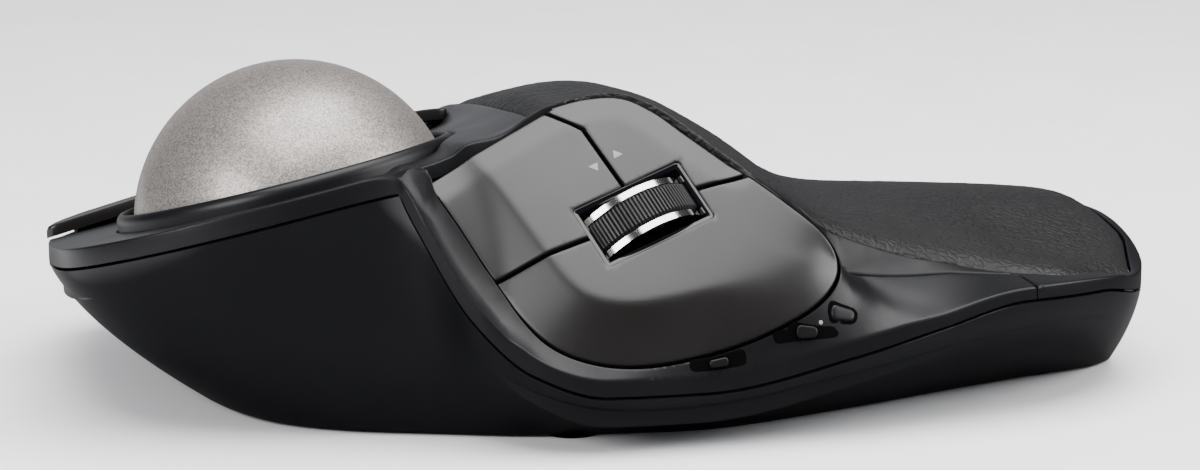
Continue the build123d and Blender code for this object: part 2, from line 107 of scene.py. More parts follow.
def along(points, column, y, station=1):
    """Value of one column of a rail at the stations y; station is the column that holds the stations."""
    knots = np.array(points, float)
    xs = np.repeat(knots[None, :, station], len(y), axis=0)
    vs = np.repeat(knots[None, :, column], len(y), axis=0)
    return monotone(xs, vs, np.clip(y, knots[0, station], knots[-1, station]))


def smooth_step(t):
    """Soft step from 0 to 1."""
    t = np.clip(t, 0, 1)
    return t * t * (3 - 2 * t)


def catmull_rom(a, b, c, d, t):
    """Point of the Catmull-Rom curve between b and c at t from 0 to 1."""
    bend = 2 * a - 5 * b + 4 * c - d
    return 0.5 * (2 * b + (c - a) * t + bend * t**2 + (3 * b - a - 3 * c + d) * t**3)


def closed_spline(points, count):
    """Closed Catmull-Rom curve through points, sampled at count places."""
    p = np.array(points, float)
    n = len(p)
    s = np.linspace(0, n, count, endpoint=False)
    i = s.astype(int)
    t = (s - i)[:, None]
    return catmull_rom(p[(i - 1) % n], p[i % n], p[(i + 1) % n], p[(i + 2) % n], t)


def rounded(corners, steps=10):
    """Closed loop with rounded corners; each corner is (x, y, radius)."""
    loop = []
    n = len(corners)
    for i, (x, y, r) in enumerate(corners):
        p = np.array([x, y])
        q0 = np.array(corners[i - 1][:2]) - p
        q1 = np.array(corners[(i + 1) % n][:2]) - p
        l0, l1 = np.linalg.norm(q0), np.linalg.norm(q1)
        half = math.acos(np.clip(q0.dot(q1) / l0 / l1, -1, 1)) / 2
        cut = min(r / max(math.tan(half), 0.05), 0.48 * l0, 0.48 * l1)
        a, b = p + q0 / l0 * cut, p + q1 / l1 * cut
        for k in range(steps + 1):
            t = k / steps
            loop.append((1 - t) ** 2 * a + 2 * t * (1 - t) * p + t**2 * b)
    return np.array(loop)


def resample(loop, step):
    """Closed loop with an even spacing."""
    closed = np.vstack([loop, loop[:1]])
    length = np.r_[0, np.cumsum(np.linalg.norm(np.diff(closed, axis=0), axis=1))]
    count = max(8, int(length[-1] / step))
    s = np.linspace(0, length[-1], count, endpoint=False)
    return np.stack([np.interp(s, length, closed[:, k]) for k in range(closed.shape[1])], axis=1)


def area(loop):
    """Signed area of a closed loop."""
    x, y = loop[:, 0], loop[:, 1]
    return 0.5 * np.sum(x * np.roll(y, -1) - y * np.roll(x, -1))


def grow(loop, amount):
    """Closed loop moved outwards along its normals."""
    tangent = np.roll(loop, -1, axis=0) - np.roll(loop, 1, axis=0)
    tangent /= np.maximum(np.linalg.norm(tangent, axis=1, keepdims=True), 1e-9)
    out = np.stack([tangent[:, 1], -tangent[:, 0]], axis=1) * np.sign(area(loop))
    return loop + out * amount


def strip(points, width):
    """Closed loop around an open polyline."""
    p = np.array(points, float)
    tangent = np.gradient(p, axis=0)
    tangent /= np.linalg.norm(tangent, axis=1, keepdims=True)
    side = np.stack([-tangent[:, 1], tangent[:, 0]], axis=1) * width / 2
    return np.vstack([p + side, (p - side)[::-1]])


def inside(points, loop):
    """Mask of the points inside a closed loop."""
    x, y = points[:, 0:1], points[:, 1:2]
    ax, ay = loop[:, 0][None], loop[:, 1][None]
    bx, by = np.roll(loop[:, 0], -1)[None], np.roll(loop[:, 1], -1)[None]
    crosses = (ay > y) != (by > y)
    height = np.where(by == ay, 1e-9, by - ay)
    return (crosses & (x < (bx - ax) * (y - ay) / height + ax)).sum(1) % 2 == 1


def gap_to(points, starts, ends):
    """Distance from each point to the nearest segment, and the place of the nearest point on it."""
    best = np.full(len(points), 1e9)
    where = np.zeros((len(points), 2))
    run = ends - starts
    square = np.maximum((run**2).sum(1), 1e-12)
    for block in range(0, len(points), 2000):
        p = points[block:block + 2000]
        t = ((p[:, None] - starts[None]) * run[None]).sum(2) / square
        foot = starts[None] + np.clip(t, 0, 1)[..., None] * run[None]
        d = np.linalg.norm(p[:, None] - foot, axis=2)
        k = d.argmin(1)
        row = np.arange(len(p))
        best[block:block + 2000] = d[row, k]
        where[block:block + 2000] = np.stack([k, np.clip(t[row, k], 0, 1)], axis=1)
    return best, where


def loop_gap(points, loop):
    """Distance to a closed loop."""
    return gap_to(points, loop, np.roll(loop, -1, axis=0))


# ---------------------------------------------------------------- the body's shape
# Ribs of the hull: plan point at the foot, plan point at the seam, seam height.
RIBS = [((-11, 65), (-17, 89.5), 27), ((-21, 61), (-29, 83.5), 30), ((-28, 55), (-37, 73), 33.5),
        ((-33, 47), (-40.5, 60), 37), ((-36, 40), (-40.7, 48), 39), ((-39, 32), (-44, 39), 35),
        ((-42, 22), (-52, 30.5), 21), ((-43.5, 10), (-57.6, 17), 12), ((-45, -8), (-58.6, -3), 11),
        ((-39.5, -30), (-58.2, -27), 15), ((-33, -50), (-55.5, -48), 19), ((-28, -66), (-51, -67), 21),
        ((-23, -82.5), (-41, -81), 19), ((-15, -88), (-24, -88.6), 17), ((5, -90), (3, -90.8), 16),
        ((29, -82), (33, -86.5), 16), ((41, -66), (49, -72), 17), ((46, -38), (55, -45), 17),
        ((48, -3), (57.2, -6), 13), ((47, 37), (57.2, 37), 14), ((43, 57), (55, 67), 20),
        ((31, 64), (46, 82), 20), ((13, 66), (26, 88), 20), ((-1, 67), (4, 90.6), 24)]
# Seam between base and cover: (station, height).
VALLEY = [(-95, 15.5), (-82, 18.2), (-72, 20.6), (-57, 21.0), (-42, 18.2), (-27, 14.9), (-3, 10.8), (13, 11),
          (24, 14.5), (32, 22), (38.5, 34), (42, 42), (46, 60)]
# Rails run along the upper skin from the rear to the front: (x, y, z).
RAILS = [
    [(-57.6, -95, 19), (-57.6, -72, 22.6), (-57.6, -57, 22.8), (-57.6, -42, 20), (-57.6, -27, 16.8),
     (-57.6, -3, 12.6), (-57.6, 13, 12.8), (-57.4, 24, 16.3), (-57, 32, 21), (-57, 38, 30), (-57, 48, 44)],
    [(-50, -95, 19), (-50, -72, 22.8), (-50, -57, 23.6), (-50, -42, 23.2), (-51, -28, 23.5), (-56, -19, 19),
     (-56.8, 0, 14.8), (-56.6, 11, 14.8), (-53, 23, 19), (-48, 32, 31), (-45, 40, 40.5), (-43, 48, 43)],
    [(-45, -95, 19), (-45, -72, 22.8), (-45, -57, 24), (-45, -42, 25.6), (-47, -28, 26.5), (-54, -19, 26),
     (-55.8, -3, 20), (-55.2, 11, 19.5), (-50, 23, 25), (-43.5, 32, 36), (-42, 40, 42), (-41, 48, 43.5)],
    [(-42, -95, 19), (-42, -72, 22.4), (-43, -57, 24.2), (-43, -42, 27.2), (-43.5, -28, 31.6), (-45, -19, 37),
     (-41, -12, 41), (-36, -5, 46.4), (-32, 4, 49.8), (-30.5, 14, 49.4), (-33, 26, 46), (-36, 37, 43.4),
     (-38, 48, 43.2)],
    [(-4, -95, 22), (-4, -88, 25), (-4, -81, 26.8), (-4, -63, 28.4), (-4, -44, 29.6), (-4, -35, 31),
     (-4, -28, 34), (-4, -18, 41.2), (-4, -7, 47), (-4, 4, 49.4), (-4, 12, 48.6), (-4, 20, 45.6),
     (-4, 30, 42), (-4, 48, 37)],
    [(28, -95, 17), (28, -81, 21.4), (28, -58, 23.6), (28, -38, 25.2), (28, -28, 29), (28, -19, 35),
     (28, -5, 42), (28, 6, 43.4), (28, 15, 42.4), (28, 19, 42.4), (28, 22.5, 38.2), (28, 30, 36),
     (28, 48, 31.5)],
    [(59, -95, 14), (59, -81, 16.5), (59, -58, 17.8), (59, -38, 18.8), (59, -28, 20.6), (59, -19, 23.5),
     (59, -5, 28), (59, 6, 31), (59, 15, 33), (59, 19, 32.5), (59, 23, 30), (59, 30, 28.5), (59, 48, 26.3)],
]


def deck_z(x, y):
    """Height of the deck plane."""
    return DECK_Z + DECK_SLOPE[0] * (x - BALL[0]) + DECK_SLOPE[1] * (y - BALL[1])


def skin_z(x, y):
    """Height of the upper skin."""
    across = np.stack([along(rail, 0, y) for rail in RAILS], axis=1)
    heights = np.stack([along(rail, 2, y) for rail in RAILS], axis=1)
    rails = monotone(across, heights, x)
    return rails + (deck_z(x, y) - rails) * smooth_step((y - 34) / 14)


def seam_z(x, y):
    """Height of the seam between base and cover."""
    right = 4.8 * smooth_step((x - 2) / 40) * smooth_step((-12 - y) / 24)
    return np.minimum(deck_z(x, y) - DECK_BAND, along(VALLEY, 1, y, station=0) - right)


RIB_COUNT = 420         # points around the hull
SEAM_PASSES = 30        # passes that settle the seam where hull and seam height agree
FEET = closed_spline([rib[0] for rib in RIBS], RIB_COUNT)
HEADS = closed_spline([rib[1] for rib in RIBS], RIB_COUNT)
HEAD_Z = closed_spline([(rib[2], 0) for rib in RIBS], RIB_COUNT)[:, 0]


def hull_at(z):
    """Plan points of the hull at one height per rib."""
    rise = np.clip((z - FLOOR_Z) / (HEAD_Z - FLOOR_Z), 0, 1)
    spread = 1 - (1 - rise) ** 1.5
    return FEET + (HEADS - FEET) * spread[:, None]


seam_height = HEAD_Z.copy()
for _ in range(SEAM_PASSES):
    plan = hull_at(seam_height)
    seam_height = 0.6 * seam_height + 0.4 * seam_z(plan[:, 0], plan[:, 1])
OUTLINE = hull_at(seam_height)

# ---------------------------------------------------------------- outlines
PAD_LOOP = rounded([(-27.5, 16.5, 3), (-31.5, 1, 8), (-41, -12.5, 10), (-43.2, -22, 10), (-43.6, -48, 30),
                    (-47.4, -66, 6), (-38.8, -81, 5), (-20, -88.0, 20), (24, -87.0, 16), (43, -68, 16),
                    (46.5, -36, 30), (46, -6, 20), (38, 17, 8)])
# Thumb panel's rim in panel coordinates: straight front edge, then round the back to the start.
PANEL_TOP = [(0, 0), (19.8, 11.9)]
PANEL_BACK = [(19.8, 11.9), (26, 13.6), (32, 13.7), (37, 11.0), (42, 6.4), (49, 0), (56, -6.4), (61.5, -12),
              (63.4, -16.5), (61.6, -20.8), (57, -24.6), (49.5, -28), (40, -30.6), (31, -31.8), (24, -31),
              (18, -28.2), (13.2, -23), (8.6, -14.8), (4.2, -6.8), (0, 0)]


SPLINE_STEPS = 8        # samples per span of the panel's rim


def open_spline(points, steps=SPLINE_STEPS):
    """Catmull-Rom curve through points, ends included."""
    p = np.array(points, float)
    p = np.vstack([2 * p[0] - p[1], p, 2 * p[-1] - p[-2]])
    t = np.linspace(0, 1, steps, endpoint=False)[:, None]
    parts = [catmull_rom(a, b, c, d, t) for a, b, c, d in zip(p[:-3], p[1:-2], p[2:-1], p[3:])]
    return np.vstack(parts + [p[-2:-1]])


PANEL_CURVE = open_spline(PANEL_BACK)
PANEL_RIM = np.vstack([np.array(PANEL_TOP[:1], float), PANEL_CURVE[:-1]])
RIM_FALL = PANEL_CURVE[SPLINE_STEPS * 8:]                           # the rim's rear and lower part
RIM_TOP = np.vstack([PANEL_TOP[:1], PANEL_CURVE[:SPLINE_STEPS * 5]])  # its front and upper part
# Gaps between the thumb keys, and the field that each key takes of the panel.
SEAM_LINES = [[(19.8, 13.5), (19.8, 11.3), (25.4, 7.7), (31, -3.2), (32.2, -5.4)],
              [(6.5, -18.5), (9.1, -17.3), (25.4, -11.3), (28, -10.4)],
              [(39, -4.6), (41.4, -3.8), (49, -1.7), (52, -0.9)]]
KEY_FIELDS = {
    "back_key": [(-3, 0), (19.8, 14), (19.8, 11.3), (25.4, 7.7), (31, -3.2), (33.4, -7.6), (25.4, -11.3),
                 (9.1, -17.3), (5, -19)],
    "forward_key": [(19.8, 14), (40, 16), (55, 2), (49, -1.7), (41.4, -3.8), (33.4, -7.6), (31, -3.2),
                    (25.4, 7.7), (19.8, 11.3)],
    "left_key": [(49, -1.7), (70, 3), (70, -40), (5, -40), (5, -19), (9.1, -17.3), (25.4, -11.3),
                 (33.4, -7.6), (41.4, -3.8)],
}


def chamfer(d, width, slope, soft):
    """Depth of a bevel of this width and slope, eased into the flat face."""
    r = width - d
    return slope * 0.5 * (r + np.sqrt(r * r + soft * soft))


def panel_lift(uv):
    """Height of the thumb keys over the panel plane: slight crown, broad bevel below, slight one above."""
    d_low, _ = gap_to(uv, RIM_FALL[:-1], RIM_FALL[1:])
    d_top, _ = gap_to(uv, RIM_TOP[:-1], RIM_TOP[1:])
    rear = smooth_step((uv[:, 0] - 40) / 20)
    front = 0.3 + 0.7 * smooth_step(uv[:, 0] / 12)
    low = chamfer(d_low, 8.6 - 4.0 * rear, front * 0.43, 0.4 + 3.0 * rear)
    top = chamfer(d_top, 4.2, 0.20, 0.4)
    crown = 0.4 * np.cos((uv[:, 0] - 32) / 42) * np.cos((uv[:, 1] + 10) / 24)
    return crown - low - top


def on_panel(uv, lift=0.0):
    """Panel coordinates to row coordinates, with the keys' own height."""
    high = panel_lift(uv) + lift
    return PANEL_O + uv[:, :1] * PANEL_X + uv[:, 1:2] * PANEL_Y + np.reshape(high, (-1, 1)) * PANEL_N


PANEL_EDGE = resample(grow(resample(PANEL_RIM, 0.5), 0.4), 0.6)
PANEL_EDGE_3D = on_panel(PANEL_EDGE)
TURN_STEPS = 200
turn = np.linspace(0, 2 * math.pi, TURN_STEPS, endpoint=False)
deck_u = unit(np.cross([0, 1, 0], DECK_NORMAL))
deck_v = np.cross(DECK_NORMAL, deck_u)
COLLAR_R = 28.2
COLLAR_O = BALL + 5.4 * DECK_NORMAL
BALL_HOLE = COLLAR_O + COLLAR_R * (np.cos(turn)[:, None] * deck_u + np.sin(turn)[:, None] * deck_v)
OUTLINE_COARSE = resample(OUTLINE, 1.5)


def frame_bar(x, y):
    """Raised bar of the deck's frame between the ball and the thumb panel, with chamfered ends."""
    u, v = x - BALL[0], y - BALL[1]
    first = np.clip((-10.5 - v) / 1.6, 0, 1)
    second = np.clip((-16 - v + 0.2 * u) / 1.8, 0, 1)
    inboard = smooth_step((2 - u) / 8)
    return (0.6 * first + 0.8 * second) * inboard * smooth_step((v + 31) / 9)


def cover_surface(uv, lift=0.0):
    """Plan coordinates to row coordinates on the cover's skin.

    Near the thumb panel the skin is drawn to the panel's rim, except on the crossbar between panel and ball.
    Where the panel comes close to the outline, the skin is a plain apron from the rim down to the lip.
    """
    x, y = uv[:, 0], uv[:, 1]
    z = skin_z(x, y)
    after = np.roll(PANEL_EDGE_3D, -1, axis=0)
    d, where = gap_to(uv, PANEL_EDGE_3D[:, :2], after[:, :2])
    k = where[:, 0].astype(int)
    rim_z = PANEL_EDGE_3D[k, 2] * (1 - where[:, 1]) + after[k, 2] * where[:, 1]
    crossbar = (smooth_step((43 - y) / 4) * smooth_step((y - 17) / 8) * smooth_step((x + 38.5) / 2.5)
                * smooth_step((-6 - x) / 8))
    z = z + (rim_z - z) * (1 - smooth_step(d / 5.0)) * (1 - 0.8 * crossbar)
    out, _ = loop_gap(uv, OUTLINE_COARSE)
    band = d + out
    t = d / np.maximum(band, 1e-6)
    lip = seam_z(x, y) + 2.8
    apron = rim_z + (lip - rim_z) * t**0.85
    weight = (1 - smooth_step((band - 10) / 8)) * smooth_step((47 - y) / 9) * (1 - crossbar)
    return np.stack([x, y, z + (apron - z) * weight + lift], axis=1)


def cover_foot(uv):
    """Underside of the cover: down to the seam on the outline, a thin shell elsewhere."""
    top = cover_surface(uv, -1.8)
    d, _ = loop_gap(uv, OUTLINE)
    rim = d < 0.06
    top[rim, 2] = seam_z(uv[rim, 0], uv[rim, 1]) + GAP
    return top


# ---------------------------------------------------------------- mesh helpers
def make_object(name, verts, faces, sharp=35):
    """Mesh object from mm coordinates, smooth with sharp creases."""
    mesh = bpy.data.meshes.new(name)
    mesh.from_pydata([tuple(v) for v in np.array(verts) * MM], [], [list(map(int, f)) for f in faces])
    bm = bmesh.new()
    bm.from_mesh(mesh)
    bmesh.ops.remove_doubles(bm, verts=bm.verts, dist=0.00001)
    loose = [v for v in bm.verts if not v.link_faces]
    bmesh.ops.delete(bm, geom=loose, context="VERTS")
    bmesh.ops.recalc_face_normals(bm, faces=bm.faces)
    bm.to_mesh(mesh)
    bm.free()
    mesh.polygons.foreach_set("use_smooth", [True] * len(mesh.polygons))
    mesh.set_sharp_from_angle(angle=math.radians(sharp))
    thing = bpy.data.objects.new(name, mesh)
    bpy.context.scene.collection.objects.link(thing)
    return thing


def moulding(name, loops, keep, surface, spacing=1.3, edge=0.35, depth=1.8, foot=None):
    """Closed thin moulding: a rounded-edged patch of a surface with its own underside."""
    rings = [resample(loop, spacing * 0.55) for loop in loops]
    fixed, ties = [], []
    for ring in rings:
        first = len(fixed)
        fixed += list(ring)
        ties += [(first + i, first + (i + 1) % len(ring)) for i in range(len(ring))]
    rows = []
    for distance in (edge * 0.25, edge * 0.6, edge, edge * 2.2):
        for ring in rings:
            for way in (-1, 1):
                rows.append(grow(ring, way * distance)[:: 1 if distance < edge * 1.5 else 2])
    rows = np.vstack(rows)
    starts = np.vstack(rings)
    ends = np.vstack([np.roll(ring, -1, axis=0) for ring in rings])
    d, _ = gap_to(rows, starts, ends)
    rows = rows[d > edge * 0.22]
    low, high = starts.min(0), starts.max(0)
    gx, gy = np.meshgrid(np.arange(low[0], high[0], spacing), np.arange(low[1], high[1], spacing * 0.87))
    gx[1::2] += spacing / 2
    grid = np.stack([gx.ravel(), gy.ravel()], axis=1)
    d, _ = gap_to(grid, starts, ends)
    grid = grid[d > edge * 2.2 + spacing * 0.4]
    cloud = np.vstack([np.array(fixed), rows, grid])
    out = delaunay_2d_cdt([Vector(p) for p in cloud], ties, [], 0, 1e-5)
    uv = np.array([tuple(p) for p in out[0]])
    faces = np.array([f for f in out[2] if len(f) == 3])
    faces = faces[keep(uv[faces].mean(1))]
    used = np.unique(faces)
    renumber = np.full(len(uv), -1)
    renumber[used] = np.arange(len(used))
    faces = renumber[faces]
    uv = uv[used]
    sides = dict.fromkeys((f[i], f[(i + 1) % 3]) for f in faces for i in range(3))
    border = [(a, b) for a, b in sides if (b, a) not in sides]
    d, _ = gap_to(uv, uv[[a for a, b in border]], uv[[b for a, b in border]])
    inner = np.clip(edge - d, 0, edge)
    drop = edge - np.sqrt(np.maximum(edge**2 - inner**2, 0))
    top = surface(uv, -drop)
    under = foot(uv) if foot else surface(uv, -depth)
    n = len(uv)
    all_faces = list(faces) + [f[::-1] + n for f in faces]
    all_faces += [(b, a, a + n, b + n) for a, b in border]
    return make_object(name, np.vstack([top, under]), all_faces)


def lathe(name, profile, origin, axis, count=160, sharp=35):
    """Closed ring of revolution: profile points are (radius, height along the axis)."""
    axis = unit(axis)
    u = unit(np.cross(axis, [0.3, 0.2, 0.9] if abs(axis[2]) < 0.9 else [0, 1, 0]))
    v = np.cross(axis, u)
    verts, faces = [], []
    k = len(profile)
    for i in range(count):
        a = 2 * math.pi * i / count
        out = math.cos(a) * u + math.sin(a) * v
        verts += [origin + out * r + axis * h for r, h in profile]
        j = (i + 1) % count
        faces += [(i * k + m, i * k + (m + 1) % k, j * k + (m + 1) % k, j * k + m) for m in range(k)]
    return make_object(name, verts, faces, sharp)


def finish_piece(thing, body, material, *nodes):
    """Material, body and the CAD nodes that a piece stands for."""
    thing.data.materials.append(material)
    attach(thing, body)
    if nodes:
        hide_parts(*nodes)
    return thing


# ---------------------------------------------------------------- materials
FLAKE_SCALE = 5200      # cells per metre of the flakes in paint and ball
LEATHER_SCALE = 620     # cells per metre of the leather
LEATHER_DEPTH = 0.12    # depth of its creases, mm


def material(name, colour, rough, metal=0.0, coat=0.0, tint=0.12, grain=900, bump=0.02, leather=0.0,
             speckle=0.0, glass=0.0, shine=0.5):
    """Procedural finish: cloudy tint, uneven roughness, fine bump, and optional leather cells or flakes.

    The bump is in mm. The leather value is the strength of the creases between the leather's cells.
    """
    mat = bpy.data.materials.new(name)
    mat.use_nodes = True
    tree = mat.node_tree
    shader = tree.nodes["Principled BSDF"]
    place = tree.nodes.new("ShaderNodeTexCoord")

    def noise(scale, detail):
        tex = tree.nodes.new("ShaderNodeTexNoise")
        tex.inputs["Scale"].default_value = scale
        tex.inputs["Detail"].default_value = detail
        tree.links.new(place.outputs["Object"], tex.inputs["Vector"])
        return tex

    def ramp(source, low, high, start=0.35, stop=0.65):
        made = tree.nodes.new("ShaderNodeValToRGB")
        made.color_ramp.elements[0].position = start
        made.color_ramp.elements[1].position = stop
        made.color_ramp.elements[0].color = low
        made.color_ramp.elements[1].color = high
        tree.links.new(source, made.inputs["Fac"])
        return made

    dark = [c * (1 - tint) for c in colour] + [1]
    light = [min(1, c * (1 + tint)) for c in colour] + [1]
    cloud = ramp(noise(60, 4).outputs["Fac"], dark, light)
    tint_out = cloud.outputs["Color"]
    if speckle:
        flake = tree.nodes.new("ShaderNodeTexVoronoi")
        flake.inputs["Scale"].default_value = FLAKE_SCALE
        tree.links.new(place.outputs["Object"], flake.inputs["Vector"])
        bright = [min(1, c * (1 + speckle)) for c in colour] + [1]
        dim = [c * (1 - speckle * 0.6) for c in colour] + [1]
        spots = ramp(flake.outputs["Color"], dim, bright, 0.2, 0.8)
        mix = tree.nodes.new("ShaderNodeMix")
        mix.data_type = "RGBA"
        mix.inputs["Factor"].default_value = 0.6
        tree.links.new(tint_out, mix.inputs["A"])
        tree.links.new(spots.outputs["Color"], mix.inputs["B"])
        tint_out = mix.outputs["Result"]
    tree.links.new(tint_out, shader.inputs["Base Color"])
    wear = ramp(noise(35, 6).outputs["Fac"], [rough * 0.9] * 3 + [1], [min(1, rough * 1.12)] * 3 + [1])
    tree.links.new(wear.outputs["Color"], shader.inputs["Roughness"])
    shader.inputs["Metallic"].default_value = metal
    shader.inputs["Specular IOR Level"].default_value = shine
    shader.inputs["Coat Weight"].default_value = coat
    shader.inputs["Coat Roughness"].default_value = 0.04
    shader.inputs["Transmission Weight"].default_value = glass
    height = noise(grain, 3).outputs["Fac"]
    bumps = tree.nodes.new("ShaderNodeBump")
    bumps.inputs["Strength"].default_value = 1.0
    bumps.inputs["Distance"].default_value = bump * MM
    tree.links.new(height, bumps.inputs["Height"])
    if leather:
        cells = tree.nodes.new("ShaderNodeTexVoronoi")
        cells.feature = "DISTANCE_TO_EDGE"
        cells.inputs["Scale"].default_value = LEATHER_SCALE
        warp = tree.nodes.new("ShaderNodeVectorMath")
        warp.operation = "MULTIPLY_ADD"
        warp.inputs[1].default_value = (0.0012, 0.0012, 0.0012)
        tree.links.new(noise(300, 2).outputs["Color"], warp.inputs[0])
        tree.links.new(place.outputs["Object"], warp.inputs[2])
        tree.links.new(warp.outputs["Vector"], cells.inputs["Vector"])
        creases = ramp(cells.outputs["Distance"], [0, 0, 0, 1], [1, 1, 1, 1], 0.0, 0.22)
        second = tree.nodes.new("ShaderNodeBump")
        second.inputs["Strength"].default_value = leather
        second.inputs["Distance"].default_value = LEATHER_DEPTH * MM
        tree.links.new(creases.outputs["Color"], second.inputs["Height"])
        tree.links.new(bumps.outputs["Normal"], second.inputs["Normal"])
        bumps = second
    tree.links.new(bumps.outputs["Normal"], shader.inputs["Normal"])
    return mat


FINISH = {
    "gloss_shell": material("gloss_black", (0.003, 0.003, 0.004), 0.07, shine=0.45, bump=0.001, grain=200),
    "satin_cover": material("satin_cover", (0.004, 0.004, 0.005), 0.38, shine=0.25, bump=0.004, grain=2600),
    "key_paint": material("key_paint", (0.0060, 0.0052, 0.0048), 0.35, shine=0.52, bump=0.004, grain=2600,
                          speckle=0.25),
    "pad_leather": material("pad_leather", (0.006, 0.006, 0.0065), 0.52, shine=0.30, bump=0.03, leather=0.85),
    "inner_plastic": material("inner_plastic", (0.004, 0.004, 0.004), 0.35, shine=0.3, bump=0.01),
    "bead": material("bead", (0.75, 0.73, 0.70), 0.15, bump=0.001),
    "clear_lens": material("clear_lens", (0.5, 0.5, 0.52), 0.08, glass=0.7, bump=0.001),
    "board": material("board", (0.01, 0.09, 0.03), 0.40, bump=0.02),
    "cell_wrap": material("cell_wrap", (0.20, 0.22, 0.26), 0.30, bump=0.01),
    "steel": material("steel", (0.55, 0.55, 0.55), 0.28, metal=1.0, bump=0.005),
    "foot_pad": material("foot_pad", (0.02, 0.02, 0.02), 0.70, bump=0.03),
    "ball_finish": material("ball_finish", (0.23, 0.21, 0.195), 0.46, metal=0.7, coat=0.2, speckle=0.9,
                            bump=0.002),
    "wheel_rubber": material("wheel_rubber", (0.005, 0.005, 0.005), 0.42, shine=0.4, bump=0.02),
    "chrome_ring": material("chrome_ring", (0.62, 0.61, 0.60), 0.14, metal=1.0, bump=0.001),
}
LED = material("lamp_window", (0.22, 0.23, 0.25), 0.2, bump=0.001)
MARK = material("key_mark", (0.22, 0.21, 0.20), 0.5, bump=0.002)
DARK = material("shadow_gap", (0.001, 0.001, 0.001), 0.8, shine=0.03, bump=0.01)

# Each CAD node that stays visible takes the finish with its own material's name.
for node in NODES.values():
    for slot in node.material_slots:
        plain_name = slot.material.name.split(".")[0] if slot.material else None
        if plain_name in FINISH:
            slot.material = FINISH[plain_name]


# ---------------------------------------------------------------- housing
EJECT_R = 12.5          # finger hole under the ball
FLOOR_WALL = 2.0        # thickness of the shell's floor


def build_base():
    """Gloss lower shell: rounded foot, undercut flanks, inner lip, floor with the ball's eject hole."""
    levels = np.r_[0.0, 0.004, 0.012, 0.03, np.linspace(0.07, 1, 40)]
    top = seam_height - GAP / 2
    verts, faces = [], []
    n = RIB_COUNT
    for level in levels:
        z = FLOOR_Z + (top - FLOOR_Z) * level
        ring = hull_at(z)
        curl = 1.6 * np.clip(1 - level / 0.03, 0, 1) ** 2
        ring = grow(ring, -curl) if curl > 0 else ring
        verts.append(np.column_stack([ring, z]))
    outer_rows = len(levels)
    rim = hull_at(top)
    for inset, down in ((0.25, 0.0), (1.8, 0.0), (1.9, 0.6), (2.2, 5.0)):
        ring = grow(rim, -inset)
        verts.append(np.column_stack([ring, top - down]))
    verts[outer_rows - 1][:, 2] -= 0.18
    rows = len(verts)
    for j in range(rows - 1):
        for i in range(n):
            k = (i + 1) % n
            faces.append((j * n + i, j * n + k, (j + 1) * n + k, (j + 1) * n + i))
    verts = np.vstack(verts)
    hole = BALL[:2] + EJECT_R * np.column_stack([np.cos(turn), np.sin(turn)])
    round_hole = [(i, (i + 1) % TURN_STEPS) for i in range(TURN_STEPS)]
    count = len(verts)
    bottom = verts[:n]
    cloud = [Vector(p[:2]) for p in bottom] + [Vector(p) for p in hole]
    ties = [(i, (i + 1) % n) for i in range(n)] + [(n + a, n + b) for a, b in round_hole]
    out = delaunay_2d_cdt(cloud, ties, [], 0, 1e-5)
    flat = np.array([tuple(p) for p in out[0]])
    tris = np.array(out[2])
    mid = flat[tris].mean(1)
    tris = tris[inside(mid, bottom[:, :2]) & ~inside(mid, hole)]
    plate = np.column_stack([flat, np.full(len(flat), FLOOR_Z)])
    lid = plate + [0, 0, FLOOR_WALL]
    verts = np.vstack([verts, plate, lid])
    faces += [tuple(f + count) for f in tris]
    faces += [tuple(f[::-1] + count + len(flat)) for f in tris]
    low, high = count + n, count + len(flat) + n
    faces += [(low + a, low + b, high + b, high + a) for a, b in round_hole]
    return make_object("lower_shell", verts, faces)


finish_piece(build_base(), "housing", FINISH["gloss_shell"], "base_shell")

PALM_LOOP = rounded([(-33, -3, 1), (-39, -8, 2), (-47.3, -21, 6), (-47.3, -32, 20), (-46.2, -46, 20),
                     (-46.4, -58, 2), (-70, -60, 1), (-70, -110, 1), (70, -110, 1), (70, -60, 1),
                     (49.5, -58, 2), (49.8, -36, 20), (49.3, -6, 10), (41, 20, 4), (30, 12, 2)])
PALM_HOLE = grow(resample(PALM_LOOP, 0.7), GAP)
PAD_HOLE = grow(resample(PAD_LOOP, 0.7), GAP)
BALL_HOLE_2D = BALL_HOLE[:, :2]
PANEL_HOLE = PANEL_EDGE_3D[:, :2]


def on_cover(mid):
    """Where the satin cover is."""
    return (inside(mid, OUTLINE) & ~inside(mid, PANEL_HOLE) & ~inside(mid, BALL_HOLE_2D)
            & ~inside(mid, PAD_HOLE) & ~inside(mid, PALM_HOLE))


def on_palm_rim(mid):
    """Where the palm rest's rim is."""
    return (inside(mid, OUTLINE) & ~inside(mid, PANEL_HOLE) & ~inside(mid, PAD_HOLE)
            & inside(mid, PALM_LOOP))


def frame_surface(uv, lift=0.0):
    """Cover skin with the raised bar beside the thumb panel and the recess under the wing keys."""
    x, y = uv[:, 0], uv[:, 1]
    recess = (1.3 + 1.3 * smooth_step((x - 36) / 8)) * smooth_step((x - 19) / 2) * smooth_step((y - 18) / 3)
    return cover_surface(uv, lift + frame_bar(x, y) - recess)


cover = moulding("deck_cover", [OUTLINE, PANEL_HOLE, BALL_HOLE_2D, PAD_HOLE, PALM_HOLE], on_cover,
                 frame_surface, foot=cover_foot)
finish_piece(cover, "housing", FINISH["satin_cover"], "top_cover")
rim = moulding("palm_rim", [OUTLINE, PANEL_HOLE, PAD_HOLE, PALM_LOOP], on_palm_rim, cover_surface,
               foot=cover_foot)
finish_piece(rim, "housing", FINISH["satin_cover"], "palm_base")


